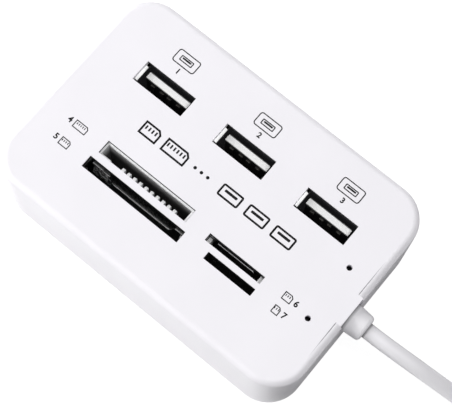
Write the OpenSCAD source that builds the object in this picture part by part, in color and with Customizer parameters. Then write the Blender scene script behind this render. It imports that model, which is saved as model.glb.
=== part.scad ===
// USB hub with three upright ports and four card slots, on a short cord that ends in a USB plug.
// Millimetres. The origin is the centre of the base, Z is up and the long side lies along X.
// The cord leaves the +X end, the ports stand in a row on the +Y side and the card slots on the -Y side.

/* [Housing] */
// Length of the housing
body_length = 79; // [78:0.5:90]
// Width of the housing
body_width = 51.6; // [50.6:0.2:60]
// Height of the housing
body_height = 22; // [21:0.5:26]
// Radius of the upright corners
corner_radius = 8.1; // [6:0.1:10]
// Rounding along the top edge
edge_round = 1.5; // [0.8:0.1:2]
// Thickness of the side walls
wall = 1.8; // [1.4:0.1:2.2]
// Thickness of the roof
roof = 1.5; // [1.2:0.1:1.8]

/* [Base] */
// Thickness of the bottom cover
cover_thick = 1.8; // [1.6:0.1:2.2]
// Gap between the bottom cover and the walls
cover_gap = 0.15; // [0.1:0.05:0.3]
// Height of the stiffening rim on the cover
rim_height = 1; // [0.6:0.1:1.3]
// Height of the posts under the main board
post_height = 1.6; // [1.4:0.1:2.5]
// Diameter of the posts under the main board
post_d = 4; // [3:0.1:5]
// Distance of the screws from the end walls
screw_inset_x = 7.3; // [6.8:0.1:8]
// Distance of the screws from the long walls
screw_inset_y = 7; // [6.6:0.1:8]
// Diameter of the screw bosses
boss_d = 5; // [4.4:0.1:5.4]
// Outer diameter of the screw thread
screw_d = 2; // [1.8:0.1:2.4]
// Length of the screws under the head
screw_length = 8; // [6:0.5:10]
// Diameter of the screw heads
head_d = 3.8; // [3.2:0.1:4]
// Height of the screw heads
head_h = 0.9; // [0.7:0.1:1.1]

/* [Boards] */
// Thickness of the main board
board_thick = 1.6; // [1.2:0.1:1.8]
// Gap between the main board and the walls
board_gap = 0.8; // [0.5:0.1:1.2]
// Thickness of the board between the card slots
card_board_thick = 0.7; // [0.5:0.1:0.8]
// Centre line of the board between the card slots
card_board_y = -10.2; // [-10.3:0.05:-10.1]

/* [USB ports] */
// Distance from port to port
port_pitch = 21.8; // [20.5:0.1:22.5]
// Middle of the middle port opening along the body
port_mid_x = 0.68; // [0:0.02:1.4]
// Middle of the port row across the body
port_y = 10.3; // [9.8:0.1:11]
// Length of a port opening in the roof
port_open_l = 13.2; // [13:0.1:13.6]
// Width of a port opening in the roof
port_open_w = 5.2; // [5.1:0.1:5.6]
// Shift of the socket inside its opening
port_shift = 0.4; // [0.2:0.05:0.6]
// Inner length of the metal socket
port_in_l = 12.5; // [12.3:0.1:12.7]
// Inner width of the metal socket
port_in_w = 5.12; // [5:0.02:5.3]
// Thickness of the socket sheet
port_sheet = 0.3; // [0.2:0.05:0.4]
// Gap between the socket and the roof
port_gap = 0.2; // [0.1:0.05:0.4]
// Length of the tongue
tongue_l = 11.1; // [10.8:0.1:11.3]
// Thickness of the tongue
tongue_t = 1.84; // [1.7:0.02:1.95]
// Gap between the tongue and the near side of the socket
tongue_gap = 0.8; // [0.7:0.05:0.95]
// Depth of the tongue's end below the roof's top face
tongue_depth = 2.1; // [1.8:0.1:3]
// Thickness of a port's contact strip
port_contact_t = 0.25; // [0.2:0.05:0.35]

/* [Card slots] */
// Middle of the SD slot along the body
sd_x = -10.4; // [-11:0.1:-10]
// Length of the SD slot
sd_l = 25.7; // [25.3:0.1:26]
// Width of the SD slot
sd_w = 2.9; // [2.6:0.1:3]
// Gap between the SD slot's edge and the card board
sd_off = 0.35; // [0.33:0.01:0.45]
// Middle of the stick card slot along the body
ms_x = -10.7; // [-11.2:0.1:-10.3]
// Length of the stick card slot
ms_l = 23.6; // [23:0.1:24]
// Width of the stick card slot
ms_w = 3.3; // [3:0.1:3.4]
// Gap between the stick card slot's edge and the card board
ms_off = 0.55; // [0.45:0.05:0.6]
// Number of comb teeth in the stick card slot
ms_teeth = 10; // [8:1:12]
// Distance between comb teeth
ms_pitch = 1.54; // [1.3:0.02:1.6]
// Middle of the M2 slot along the body
m2_x = 13.75; // [13.5:0.05:14.5]
// Length of the M2 slot
m2_l = 14.5; // [14:0.1:15]
// Width of the M2 slot
m2_w = 1.85; // [1.6:0.05:2]
// Gap between the M2 slot's edge and the card board
m2_off = 0.2; // [0.18:0.01:0.3]
// Middle of the smallest slot along the body
msd_x = 14.92; // [14.5:0.05:15.5]
// Length of the smallest slot
msd_l = 12.35; // [12:0.05:13]
// Width of the smallest slot
msd_w = 1.8; // [1.6:0.05:2]
// Gap between the smallest slot's edge and the card board
msd_off = 0.5; // [0.4:0.05:0.6]
// Thickness of the card socket sheet
card_sheet = 0.2; // [0.15:0.01:0.25]
// Gap round the stick card socket's rim in its opening
rim_gap = 0.12; // [0.08:0.01:0.2]
// Thickness of that rim
rim_t = 0.4; // [0.3:0.05:0.5]
// Depth of that rim's top below the top face
rim_drop = 0.45; // [0.3:0.05:0.8]
// Length of a comb tooth across the slot
tooth_l = 0.85; // [0.7:0.05:1]
// Thickness of a comb tooth along the slot
tooth_t = 0.7; // [0.5:0.02:0.8]
// Depth of the SD guide plate's long edge below the top face
guide_drop = 9; // [7:0.1:10]
// Depth of the guide plate's two raised ends
guide_end_drop = 4.2; // [3.6:0.1:4.8]
// Bow of the leaf spring at the far end of the SD slot
leaf_bow = 1; // [0.6:0.1:1.2]
// Length of that leaf spring along the slot
leaf_l = 4; // [3:0.1:4.4]
// Height of the SD socket's base block
sd_base_h = 2.5; // [1.5:0.1:4]
// Height of the stick card socket's base
ms_base_h = 2.5; // [1.5:0.1:4]
// Height of the two small sockets above the main board
small_lift = 4; // [2:0.5:5]
// Height of the small sockets' base blocks
small_base_h = 2.5; // [1.5:0.1:4]
// Distance between the SD contacts
sd_contact_pitch = 2.4; // [2.2:0.05:2.6]
// Distance between the M2 contacts
m2_contact_pitch = 1.05; // [0.9:0.05:1.15]
// Distance between the smallest socket's contacts
msd_contact_pitch = 1.1; // [1:0.05:1.2]

/* [Lamps] */
// Diameter of the lamp holes
lamp_hole_d = 1.3; // [1:0.1:1.6]
// Distance of the lamps from the cord end
lamp_inset = 6.5; // [6:0.1:7]
// Distance between the two lamps
lamp_span = 13.7; // [13:0.1:14.5]
// Diameter of a lamp
lamp_d = 3; // [2.6:0.1:3.4]

/* [Cord outlet] */
// Middle of the cord outlet across the body
outlet_y = -2.2; // [-2.6:0.1:-1.8]
// Depth of the cord's centre below the top face
outlet_drop = 4.2; // [4.1:0.05:4.5]
// Width of the shallow recess round the outlet
recess_w = 7.4; // [7.2:0.1:8]
// Depth of the shallow recess
recess_depth = 0.35; // [0.2:0.05:0.5]
// Diameter of the collar at the wall
collar_d = 6.6; // [6:0.1:7]
// Diameter of the collar at its end
collar_end_d = 6; // [5.4:0.1:6]
// Length of the collar outside the wall
collar_l = 4.4; // [3.6:0.1:5]
// Diameter of the collar's neck in the wall
neck_d = 5; // [4.4:0.1:5.4]
// Gap between the neck and its hole
neck_gap = 0.1; // [0.05:0.05:0.2]
// Diameter of the collar's flange inside
flange_d = 6.4; // [6:0.1:6.8]
// Thickness of the collar's flange inside
flange_t = 1.6; // [1.2:0.1:2.2]

/* [Cord] */
// Diameter of the cord
cord_d = 3.5; // [3.3:0.05:3.7]
// Radius of the coil at the middle of its turns
coil_r = 17.5; // [17:0.1:18]
// Diameter of a wire inside the cord
wire_d = 0.9; // [0.7:0.05:1]

/* [Plug] */
// Length of the plug's grip
grip_l = 21; // [18:0.5:26]
// Width of the plug's grip
grip_w = 15.6; // [14:0.1:17]
// Thickness of the plug's grip
grip_t = 8; // [7:0.1:9]
// Length of the tapered nose behind the grip
nose_l = 7; // [5:0.5:9]
// Diameter of the nose at its thin end
nose_d = 4.8; // [4.4:0.1:5.4]
// Width of the plug's metal shell
plug_w = 12; // [11.8:0.1:12.2]
// Thickness of the plug's metal shell
plug_t = 4.5; // [4.4:0.05:4.6]
// Length of the plug's metal shell outside the grip
plug_l = 12; // [11:0.1:13]
// Thickness of the plug's sheet
plug_sheet = 0.3; // [0.25:0.05:0.4]

/* [Hidden] */
round_fn = 48;

white = [0.95, 0.95, 0.96];
steel = [0.72, 0.73, 0.75];
gold = [0.85, 0.68, 0.32];
black = [0.08, 0.08, 0.09];
board_green = [0.08, 0.34, 0.2];
pale = [0.88, 0.88, 0.86];

// Heights of the main levels
under_roof = body_height - roof;
board_z = cover_thick + post_height;
board_top = board_z + board_thick;
socket_top = under_roof - port_gap;
// Thickness of the bent plate in the SD slot, and heights of its edge
guide_t = 0.25;
guide_low = body_height - guide_drop;
guide_high = body_height - guide_end_drop;
// Top of the comb and rim of the stick card socket
rim_top = body_height - rim_drop;
// Height of the block that carries a port's tongue
foot_h = 3.2;
// Floors of the card sockets
sd_floor = board_top + sd_base_h;
ms_floor = board_top + ms_base_h;
small_z = board_top + small_lift;
small_floor = small_z + small_base_h;
// Inside of the walls
in_l = body_length - 2 * wall;
in_w = body_width - 2 * wall;
in_r = corner_radius - wall;
// Main board
board_l = in_l - 2 * board_gap;
board_w = in_w - 2 * board_gap;
// Screws
screw_x = body_length / 2 - screw_inset_x;
screw_y = body_width / 2 - screw_inset_y;
head_seat = cover_thick - 0.8;
// Board posts stand between the screws and the middle
post_x = screw_x - 6;
post_y = screw_y - 1;
// Cord outlet
outlet_z = body_height - outlet_drop;
outlet_face = body_length / 2 - recess_depth;
wall_in_x = body_length / 2 - wall;
collar_end_x = outlet_face + collar_l;
pocket_gap = 0.3;
pocket_depth = 1.5;
stub_end_x = wall_in_x - flange_t - 4.5;
// Lamps
lamp_x = body_length / 2 - lamp_inset;
lamp_mid_y = outlet_y + 0.15;
lamp_top = under_roof - 0.5;

function port_x(i) = port_mid_x + (i - 2) * port_pitch;
function socket_x(i) = port_x(i) + port_shift;
// The comb stands a little towards the cord from the slot's middle
function ms_tooth(k) = ms_x + 1.55 + (k - (ms_teeth - 1) / 2) * ms_pitch;

// Smooth step from 0 to 1
function ease(u) = let (t = min(max(u, 0), 1)) t * t * (3 - 2 * t);
// Upper edge of the SD guide plate at a distance from the slot's far end and one from its cord end
function guide_edge(far, near) =
    guide_low + (guide_high - guide_low) * (ease((5.6 - far) / 3.2) + ease((4.4 - near) / 2));

// Card slots, as [middle x, length, low edge y, high edge y]
board_low = card_board_y - card_board_thick / 2;
board_high = card_board_y + card_board_thick / 2;
sd_slot = [sd_x, sd_l, board_low - sd_off - sd_w, board_low - sd_off];
ms_slot = [ms_x, ms_l, board_high + ms_off, board_high + ms_off + ms_w];
m2_slot = [m2_x, m2_l, board_high + m2_off, board_high + m2_off + m2_w];
msd_slot = [msd_x, msd_l, board_low - msd_off - msd_w, board_low - msd_off];

// Route of the cord from the collar to the coil, and from the coil to the plug
route = [
    [42.5, -2.2, 17.8], [44.2, -2.2, 17.8], [47, -2.15, 17.8], [51, -1.9, 17.4], [56, -1.35, 16.2],
    [61, -0.6, 14.1], [66, 0.3, 11.3], [70.5, 1.05, 8.4], [73.8, 1.5, 6.2]
];
tail = [
    [93.2, 1.2, 4.9], [94.8, 0.4, 4.6], [96.8, -0.7, 4.3], [98.9, -2, 4.05], [100.9, -3.25, 4]
];
coil_at = [84, 21.75];
plug_at = [101, -3.3, 4];
plug_turn = -32;
// Along the plug: where the grip ends, and where the metal shell is seated in it
seat_l = 4;
grip_end = nose_l + grip_l;
plug_seat = grip_end - seat_l;

// A flat rounded rectangle
module rounded_rect(l, w, r) {
    square([l - 2 * r, w], center = true);
    square([l, w - 2 * r], center = true);
    for (sx = [-1, 1], sy = [-1, 1])
        translate([sx * (l / 2 - r), sy * (w / 2 - r)]) circle(r, $fn = round_fn);
}

// An upright plate with rounded corners
module plate(l, w, r, h) {
    linear_extrude(h) rounded_rect(l, w, r);
}

// Upright section of a block from its middle out to half width a: its top edge is rounded,
// and its bottom edge too if asked
module edge_section(a, h, e, both) {
    low = both ? e : 0;
    translate([0, low]) square([a, h - e - low]);
    square([a - e, h]);
    translate([a - e, h - e]) circle(e, $fn = round_fn);
    if (both) translate([a - e, e]) circle(e, $fn = round_fn);
}

// A block with rounded corners of radius r whose top edge is rounded by e
module rounded_block(l, w, r, h, e, both = false) {
    for (sx = [-1, 1], sy = [-1, 1])
        translate([sx * (l / 2 - r), sy * (w / 2 - r), 0])
            rotate_extrude($fn = round_fn) intersection() {
                edge_section(r, h, e, both);
                square([r + 1, h + 1]);
            }
    translate([-(l / 2 - r), 0, 0]) rotate([90, 0, 90]) linear_extrude(l - 2 * r) {
        edge_section(w / 2, h, e, both);
        mirror([1, 0]) edge_section(w / 2, h, e, both);
    }
    translate([0, w / 2 - r, 0]) rotate([90, 0, 0]) linear_extrude(w - 2 * r) {
        edge_section(l / 2, h, e, both);
        mirror([1, 0]) edge_section(l / 2, h, e, both);
    }
}

// A tube of sheet round an inner box, open at both ends
module sheet_tube(l, w, h, t, r) {
    linear_extrude(h) difference() {
        rounded_rect(l + 2 * t, w + 2 * t, r + t);
        rounded_rect(l, w, r);
    }
}

// A box from corner to corner
module span(x0, x1, y0, y1, z0, z1) {
    translate([x0, y0, z0]) cube([x1 - x0, y1 - y0, z1 - z0]);
}

module at_corners(x, y) {
    for (sx = [-1, 1], sy = [-1, 1])
        translate([sx * x, sy * y, 0]) children();
}

module slot_hole(s) {
    span(s[0] - s[1] / 2, s[0] + s[1] / 2, s[2], s[3], under_roof - 1, body_height + 1);
}

module top_shell() {
    color(white)
    difference() {
        union() {
            difference() {
                rounded_block(body_length, body_width, corner_radius, body_height, edge_round);
                translate([0, 0, -1]) plate(in_l, in_w, in_r, under_roof + 1);
            }
            at_corners(screw_x, screw_y)
                translate([0, 0, cover_thick])
                    cylinder(d = boss_d, h = under_roof - cover_thick + 0.5, $fn = round_fn);
            // Board stops on the end walls
            for (sx = [-1, 1], y = [-in_w / 4, in_w / 4])
                translate([sx * (in_l / 2 - 0.5) - 1, y - 0.6, board_top])
                    cube([2, 1.2, under_roof - board_top + 0.5]);
            // The top edge stays square over the cord outlet
            span(body_length / 2 - wall, outlet_face, outlet_y - recess_w / 2, outlet_y + recess_w / 2,
                outlet_z, body_height);
        }
        for (i = [1:3])
            span(port_x(i) - port_open_l / 2, port_x(i) + port_open_l / 2,
                port_y - port_open_w / 2, port_y + port_open_w / 2, under_roof - 1, body_height + 1);
        slot_hole(sd_slot);
        slot_hole(ms_slot);
        slot_hole(m2_slot);
        slot_hole(msd_slot);
        for (s = [-1, 1])
            translate([lamp_x, lamp_mid_y + s * lamp_span / 2, under_roof - 1])
                cylinder(d = lamp_hole_d, h = roof + 2, $fn = round_fn);
        // Recess and hole for the collar
        span(outlet_face, body_length / 2 + 1, outlet_y - recess_w / 2, outlet_y + recess_w / 2,
            outlet_z, body_height + 1);
        translate([outlet_face, outlet_y, outlet_z])
            rotate([0, 90, 0]) cylinder(d = recess_w, h = 2, $fn = round_fn);
        translate([wall_in_x - 1, outlet_y, outlet_z])
            rotate([0, 90, 0]) cylinder(d = neck_d + 2 * neck_gap, h = wall + 2, $fn = round_fn);
        // Room inside for the collar's flange
        translate([wall_in_x - 3, outlet_y, outlet_z])
            rotate([0, 90, 0]) cylinder(d = flange_d + 0.3, h = 3, $fn = round_fn);
        at_corners(screw_x, screw_y)
            translate([0, 0, cover_thick - 1]) cylinder(d = screw_d, h = screw_length + 1, $fn = round_fn);
    }
}

module bottom_cover() {
    l = in_l - 2 * cover_gap;
    w = in_w - 2 * cover_gap;
    r = in_r - cover_gap;
    color(white)
    difference() {
        union() {
            plate(l, w, r, cover_thick);
            translate([0, 0, cover_thick - 0.5]) difference() {
                plate(l - 2, w - 2, r - 1, rim_height + 0.5);
                translate([0, 0, -1]) plate(l - 3.6, w - 3.6, r - 1.8, rim_height + 3);
            }
            at_corners(post_x, post_y) cylinder(d = post_d, h = board_z, $fn = round_fn);
        }
        at_corners(screw_x, screw_y) {
            translate([0, 0, -1]) cylinder(d = screw_d + 0.4, h = cover_thick + 2, $fn = round_fn);
            translate([0, 0, -1]) cylinder(d = head_d + 0.4, h = head_seat + 1, $fn = round_fn);
            translate([0, 0, cover_thick]) cylinder(d = boss_d + 0.6, h = rim_height + 1, $fn = round_fn);
        }
    }
}

module cover_screw(sx, sy) {
    color(steel)
    translate([sx * screw_x, sy * screw_y, 0]) difference() {
        union() {
            translate([0, 0, head_seat]) cylinder(d = screw_d, h = screw_length, $fn = round_fn);
            translate([0, 0, head_seat - head_h]) cylinder(d = head_d, h = head_h, $fn = round_fn);
        }
        for (a = [0, 90])
            translate([0, 0, head_seat - head_h]) rotate([0, 0, a]) cube([2, 0.4, 0.9], center = true);
    }
}

module main_board() {
    color(board_green)
    difference() {
        translate([0, 0, board_z]) plate(board_l, board_w, in_r - board_gap, board_thick);
        at_corners(screw_x, screw_y) cylinder(d = boss_d + 0.6, h = board_top + 1, $fn = round_fn);
        // Slots for the feet of the sockets
        for (i = [1:3], s = [-1, 1])
            translate([socket_x(i) + s * (port_in_l + port_sheet) / 2, port_y, board_top])
                cube([port_sheet + 0.4, 2, 4], center = true);
    }
}

module card_board() {
    color(board_green)
    span(sd_x - sd_l / 2 - 1, m2_x + m2_l / 2 + 1, board_low, board_high, board_top, socket_top - 0.3);
}

module usb_shell(i) {
    h = socket_top - board_top;
    color(steel)
    translate([socket_x(i), port_y, board_top]) {
        difference() {
            sheet_tube(port_in_l, port_in_w, h, port_sheet, 0.4);
            // Windows round the two spring fingers of each broad side
            for (sx = [-1, 1])
                translate([sx * 3.2, 0, h - 6]) cube([2.6, port_in_w + 2, 5], center = true);
        }
        // Spring fingers
        for (sx = [-1, 1], sy = [-1, 1])
            translate([sx * 3.2 - 0.9, sy * (port_in_w + port_sheet) / 2 - port_sheet / 2, h - 8.6])
                cube([1.8, port_sheet, 4]);
        // Flared lip in the roof opening
        translate([-port_in_l / 2, -1.9, h]) rotate([0, -35, 0]) translate([-port_sheet, 0, 0])
            cube([port_sheet, 3.8, 0.8]);
        // Feet in the board
        for (sx = [-1, 1])
            translate([sx * (port_in_l + port_sheet) / 2 - port_sheet / 2, -0.8, -1.4])
                cube([port_sheet, 1.6, 2.4]);
    }
}

module usb_tongue(i) {
    tongue_high = port_in_w / 2 - tongue_gap;
    tongue_top = body_height - tongue_depth;
    color(white)
    translate([socket_x(i), port_y, 0]) {
        translate([0, 0, board_top]) plate(port_in_l - 0.2, port_in_w - 0.2, 0.4, foot_h);
        translate([0, tongue_high - tongue_t / 2, board_top + foot_h - 0.2])
            plate(tongue_l, tongue_t, 0.35, tongue_top - board_top - foot_h + 0.2);
    }
}

module usb_contacts(i) {
    face = port_in_w / 2 - tongue_gap - tongue_t;
    color(gold)
    translate([socket_x(i), port_y, 0])
        for (x = [-3.5, -1, 1, 3.5])
            span(x - 0.5, x + 0.5, face - port_contact_t, face,
                board_top + foot_h, body_height - tongue_depth - 1.4);
}

// A card socket's sheet tube from the board side to just past its slot
module card_tube(s, t, z0, to_board) {
    low = s[2] - (to_board < 0 ? 0.05 : to_board);
    high = s[3] + (to_board < 0 ? -to_board : 0.05);
    color(steel)
    translate([s[0], (low + high) / 2, z0])
        sheet_tube(s[1] + 0.1, high - low, socket_top - z0, t, 0.15);
}

module sd_shell() {
    difference() {
        card_tube(sd_slot, card_sheet, board_top, -(sd_off - card_sheet));
        // Window for the switch in the far end wall
        color(steel)
        translate([sd_x - sd_l / 2, (sd_slot[2] + sd_slot[3]) / 2, sd_floor + 2.5])
            cube([2, 1.2, 4], center = true);
    }
}

module sd_base() {
    low = sd_slot[2] + 0.05;
    high = sd_slot[3] + sd_off - card_sheet - 0.1;
    color(black) {
        span(sd_x - sd_l / 2 + 0.05, sd_x + sd_l / 2 - 0.05, low, high, board_top, sd_floor);
        // Rails that guide the card's two edges
        for (s = [-1, 1])
            span(sd_x + s * (sd_l / 2 - 0.3) - 0.25, sd_x + s * (sd_l / 2 - 0.3) + 0.25, low, low + 1,
                sd_floor - 0.5, socket_top - 1.5);
    }
}

// Bent plate on the board side of the slot, low in the middle and high at its two ends,
// with a bowed leaf spring at its far end
module sd_guide() {
    face = sd_slot[3] + sd_off - card_sheet;
    a = sd_x - sd_l / 2 + 0.3;
    b = sd_x + sd_l / 2 - 0.3;
    steps = 60;
    color(steel) {
        translate([0, face, 0]) rotate([90, 0, 0]) linear_extrude(guide_t)
            polygon(concat([[b, sd_floor], [a, sd_floor]],
                [for (k = [0:steps]) let (x = a + (b - a) * k / steps) [x, guide_edge(x - a, b - x)]]));
        leaf_spring(a + 0.6, face - guide_t, guide_high - 6.5, 6);
    }
}

// A leaf that bows out of a wall from height z over height h
module leaf_spring(x, face, z, h) {
    steps = 16;
    bow = [for (k = [0:steps]) [-leaf_bow * sin(180 * k / steps), z + h * k / steps]];
    back = [for (k = [steps:-1:0]) [0.2 - leaf_bow * sin(180 * k / steps), z + h * k / steps]];
    translate([x, face, 0]) rotate([90, 0, 90]) linear_extrude(leaf_l) polygon(concat(bow, back));
}

// Small white block that follows the card at the cord end of the slot
module sd_slider() {
    x = sd_x + sd_l / 2;
    y = sd_slot[3] + sd_off - card_sheet - guide_t - 0.1;
    color(pale)
    difference() {
        span(x - 1.1, x - 0.35, y - 1.3, y, sd_floor, guide_high - 0.4);
        // Notch for the card's corner
        span(x - 1.2, x - 0.7, y - 1.4, y - 0.6, guide_high - 2.4, guide_high);
    }
}

module sd_contacts() {
    face = sd_slot[2] + 0.1;
    color(gold)
    for (k = [0:8]) {
        x = sd_x + (k - 4) * sd_contact_pitch;
        span(x - 0.3, x + 0.6, face, face + 0.25, sd_floor, sd_floor + (k == 8 ? 4 : 5));
    }
}

module ms_body() {
    x0 = ms_x - ms_l / 2;
    x1 = ms_x + ms_l / 2;
    wall_y = ms_slot[3] - rim_gap - rim_t;
    color(white) {
        difference() {
            union() {
                span(x0 - 1, x1 + 1, board_high, ms_slot[3] + 1.1, board_top, socket_top);
                // Rim that stands in the opening
                span(x0 + rim_gap, x1 - rim_gap, ms_slot[2] + rim_gap, ms_slot[3] - rim_gap,
                    socket_top - 0.5, rim_top);
            }
            span(x0 + rim_gap + rim_t, x1 - rim_gap - rim_t, ms_slot[2], wall_y, ms_floor, rim_top + 1);
            // Lead-in along the rim
            translate([ms_x, wall_y, rim_top]) rotate([45, 0, 0])
                cube([ms_l, 0.3, 0.3], center = true);
        }
        // Comb between the contacts, and the step before it
        for (k = [0:ms_teeth - 1])
            comb_tooth(ms_tooth(k) - tooth_t / 2, ms_tooth(k) + tooth_t / 2, tooth_l);
        comb_tooth(x0 + 0.4, x0 + 3.1, 0.4);
    }
}

// A tooth from the low wall of the stick card slot, with a sloping tip
module comb_tooth(x0, x1, l) {
    low = ms_slot[2];
    span(x0, x1, low - 0.2, low + l - 0.15, ms_floor - 0.2, socket_top);
    translate([x0, 0, 0]) rotate([90, 0, 90]) linear_extrude(x1 - x0) polygon([
        [low + rim_gap / 2, socket_top - 0.5], [low + l, socket_top - 0.5],
        [low + l, rim_top - 0.35], [low + l - 0.3, rim_top], [low + rim_gap / 2, rim_top]
    ]);
}

module ms_contacts() {
    color(gold)
    for (k = [0:ms_teeth - 2])
        span(ms_tooth(k + 0.5) - 0.3, ms_tooth(k + 0.5) + 0.3,
            ms_slot[2], ms_slot[2] + 0.3, ms_floor, ms_floor + 8);
}

// The socket's sheet, with a spring finger bent out of its high wall
module m2_shell() {
    card_tube(m2_slot, card_sheet - 0.02, small_z, m2_off - card_sheet + 0.02);
    color(steel)
    translate([m2_x - m2_l / 2 + 2.4, m2_slot[3] + 0.1, 0]) rotate([90, 0, 90])
        linear_extrude(m2_l - 5.1) polygon([
            [0, socket_top - 4], [0, socket_top - 3.6],
            [-0.32, socket_top - 0.2], [-0.48, socket_top - 0.2]
        ]);
}

module m2_base() {
    x0 = m2_x - m2_l / 2 + 0.05;
    x1 = m2_x + m2_l / 2 - 0.05;
    low = m2_slot[2] + 0.1;
    high = m2_slot[3] - 0.05;
    color(pale) {
        span(x0, x1, low, high, small_z, small_floor);
        // End cheeks that show at the two ends of the slot
        span(x0, x0 + 0.8, low, high, small_floor - 0.2, socket_top - 1.2);
        span(x1 - 0.9, x1, low, high, small_floor - 0.2, socket_top - 0.1);
    }
}

module m2_contacts() {
    color(gold)
    for (k = [-5:5])
        span(m2_x + k * m2_contact_pitch - 0.25, m2_x + k * m2_contact_pitch + 0.25,
            m2_slot[2] + 0.15, m2_slot[2] + 0.35, small_floor, small_floor + 4);
}

module microsd_shell() {
    card_tube(msd_slot, card_sheet, small_z, -(msd_off - card_sheet));
}

module microsd_base() {
    low = msd_slot[2] + 0.05;
    high = msd_slot[3] + msd_off - card_sheet - 0.1;
    color(black)
    span(msd_x - msd_l / 2 + 0.05, msd_x + msd_l / 2 - 0.05, low, high, small_z, small_floor);
}

module microsd_contacts() {
    color(gold)
    for (k = [0:7]) {
        x = msd_x + (k - 3.5) * msd_contact_pitch;
        span(x - 0.3, x + 0.3, msd_slot[2] + 0.1, msd_slot[2] + 0.3, small_floor, small_floor + 4);
    }
}

// A chip with leads on two sides, or on four
module chip(l, w, h, lead_pitch, leads, four) {
    color(black) translate([0, 0, 0.1]) linear_extrude(h) square([l, w], center = true);
    color(steel)
    for (a = four ? [0, 90, 180, 270] : [0, 180], k = [0:leads - 1])
        rotate([0, 0, a]) translate([(k - (leads - 1) / 2) * lead_pitch, w / 2 + 0.45, 0])
            translate([-lead_pitch / 4, -0.5, 0]) cube([lead_pitch / 2, 1, 0.4]);
}

module hub_chip() {
    translate([-10, 1, board_top]) chip(9.9, 3.9, 1.5, 1.27, 8, false);
}

module reader_chip() {
    translate([6, 0.5, board_top]) chip(7, 7, 1.3, 1, 6, true);
}

module crystal() {
    color(steel)
    translate([-24, 0.5, board_top]) {
        plate(11, 4.6, 2.2, 0.4);
        plate(10.2, 3.8, 1.8, 3.4);
    }
}

module capacitor(x, y) {
    color(steel)
    translate([x, y, board_top]) {
        cylinder(d = 4, h = 5.6, $fn = round_fn);
        color(black) linear_extrude(0.7) square([4.4, 4.4], center = true);
    }
}

module led(s) {
    color(pale)
    translate([lamp_x, lamp_mid_y + s * lamp_span / 2, 0]) {
        translate([0, 0, lamp_top - 4.6]) cylinder(d = lamp_d + 0.6, h = 0.8, $fn = round_fn);
        translate([0, 0, lamp_top - 4.6]) cylinder(d = lamp_d, h = 4.6 - lamp_d / 2, $fn = round_fn);
        translate([0, 0, lamp_top - lamp_d / 2]) sphere(d = lamp_d, $fn = round_fn);
        for (sy = [-1, 1])
            translate([-0.25, sy * 1.1 - 0.25, board_top]) cube([0.5, 0.5, lamp_top - 4.4 - board_top]);
    }
}

// Strain relief: outer collar, neck in the wall and flange inside, with a pocket where the cord enters
module cord_collar() {
    soft = 0.7;
    a = wall_in_x - flange_t;
    color(pale)
    translate([0, outlet_y, outlet_z]) rotate([0, 90, 0])
        difference() {
            union() {
                translate([0, 0, a]) cylinder(d = flange_d, h = flange_t, $fn = round_fn);
                translate([0, 0, wall_in_x - 0.2]) cylinder(d = neck_d, h = wall, $fn = round_fn);
                rotate_extrude($fn = round_fn) polygon([
                    [0, outlet_face], [collar_d / 2, outlet_face],
                    [collar_end_d / 2, collar_end_x - soft], [collar_end_d / 2 - 0.2, collar_end_x - 0.25],
                    [collar_end_d / 2 - soft, collar_end_x], [0, collar_end_x]
                ]);
            }
            translate([0, 0, collar_end_x - pocket_depth])
                cylinder(d = cord_d + 2 * pocket_gap, h = pocket_depth + 1, $fn = round_fn);
        }
}

module cord_stub() {
    color(pale)
    translate([stub_end_x, outlet_y, outlet_z]) rotate([0, 90, 0])
        cylinder(d = cord_d, h = wall_in_x - flange_t - stub_end_x, $fn = round_fn);
}

// One wire of four: straight out of the sheath, then down to the board
module wire(k) {
    bend = 2;
    sy = k % 2 == 0 ? -1 : 1;
    upper = k > 1;
    y = outlet_y + sy * 0.7;
    z = outlet_z + (upper ? 0.7 : -0.7);
    x = stub_end_x - (upper ? 5 : 2.6);
    tints = [[0.75, 0.1, 0.1], [0.9, 0.9, 0.9], [0.1, 0.5, 0.2], [0.1, 0.1, 0.1]];
    color(tints[k])
    translate([x, y, z]) {
        translate([bend - 0.01, 0, 0]) rotate([0, 90, 0])
            cylinder(d = wire_d, h = stub_end_x - x - bend + 0.01, $fn = 24);
        translate([bend, 0, -bend]) rotate([90, 0, 0]) intersection() {
            rotate_extrude($fn = round_fn) translate([bend, 0]) circle(d = wire_d, $fn = 24);
            translate([-bend * 2, 0, -bend]) cube([bend * 2, bend * 2, bend * 2]);
        }
        translate([0, 0, board_top - z]) cylinder(d = wire_d, h = z - bend - board_top + 0.01, $fn = 24);
    }
}

// A round tube swept along points, with flat ends
module swept(points, d, sides) {
    n = len(points);
    function along(i) = let (
        a = points[max(i - 1, 0)],
        b = points[min(i + 1, n - 1)],
        v = b - a
    ) v / norm(v);
    function ring(i) = let (
        f = along(i),
        s = cross([0, 0, 1], f),
        side = s / norm(s),
        up = cross(f, side)
    ) [for (k = [0:sides - 1]) points[i] + d / 2 * (cos(360 * k / sides) * side + sin(360 * k / sides) * up)];
    verts = [for (i = [0:n - 1]) each ring(i)];
    walls = [
        for (i = [0:n - 2], k = [0:sides - 1]) let (m = (k + 1) % sides)
            each [
                [i * sides + k, (i + 1) * sides + k, (i + 1) * sides + m],
                [i * sides + k, (i + 1) * sides + m, i * sides + m]
            ]
    ];
    caps = [
        [for (k = [0:sides - 1]) k],
        [for (k = [sides - 1:-1:0]) (n - 1) * sides + k]
    ];
    polyhedron(verts, concat(walls, caps));
}

module cord_tube() {
    color(pale) swept(route, cord_d, 8);
}

module cord_coil() {
    color(pale)
    translate([coil_at[0], coil_at[1], cord_d]) rotate_extrude($fn = 64)
        translate([coil_r, 0]) rounded_rect(2 * cord_d, 2 * cord_d, cord_d / 2);
}

module cord_tail() {
    color(pale) swept(tail, cord_d, 8);
}

module in_plug() {
    translate(plug_at) rotate([0, 0, plug_turn]) children();
}

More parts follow.
